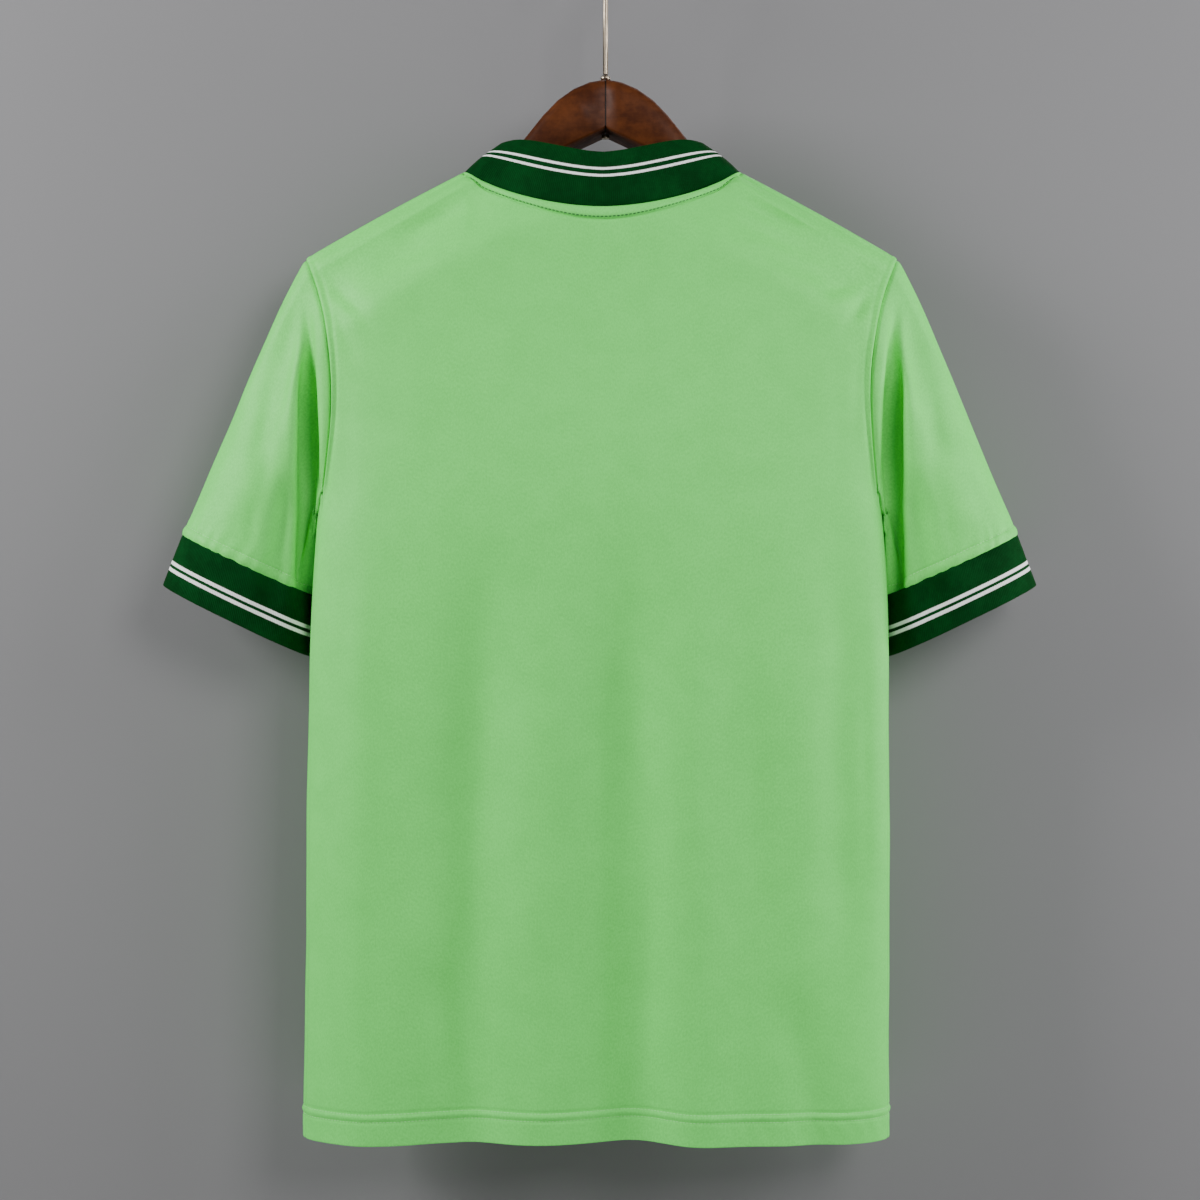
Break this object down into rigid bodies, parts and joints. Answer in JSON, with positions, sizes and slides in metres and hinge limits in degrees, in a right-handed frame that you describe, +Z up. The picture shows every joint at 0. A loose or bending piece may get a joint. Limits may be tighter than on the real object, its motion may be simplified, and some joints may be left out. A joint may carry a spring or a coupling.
{
  "type": "football jersey on a hanger",
  "caption": "Short-sleeved football jersey with a ribbed collar and cuffs, hanging from a wooden hanger with a wire hook.",
  "frame": {"origin": "inside of the hook's top, where a rail carries the hanger", "axes": "+Z up, +X towards the wearer's right, +Y the way a wearer would face, so the back of the jersey faces -Y"},
  "size_m": [0.6664, 0.1201, 0.9168],
  "materials": {
    "jersey": "satin polyester knit",
    "rib": "matte rib knit with two white stripes",
    "hanger_wood": "satin varnish",
    "hook_metal": "polished"
  },
  "bodies": {
    "root": {"back_panel": "jersey", "collar": "rib", "cuff_left": "rib", "cuff_right": "rib", "front_panel": "jersey", "hanger_arm_left": "hanger_wood", "hanger_arm_right": "hanger_wood", "hook": "hook_metal", "hook_ferrule": "hook_metal", "sleeve_left": "jersey", "sleeve_right": "jersey"}
  },
  "joints": []
}
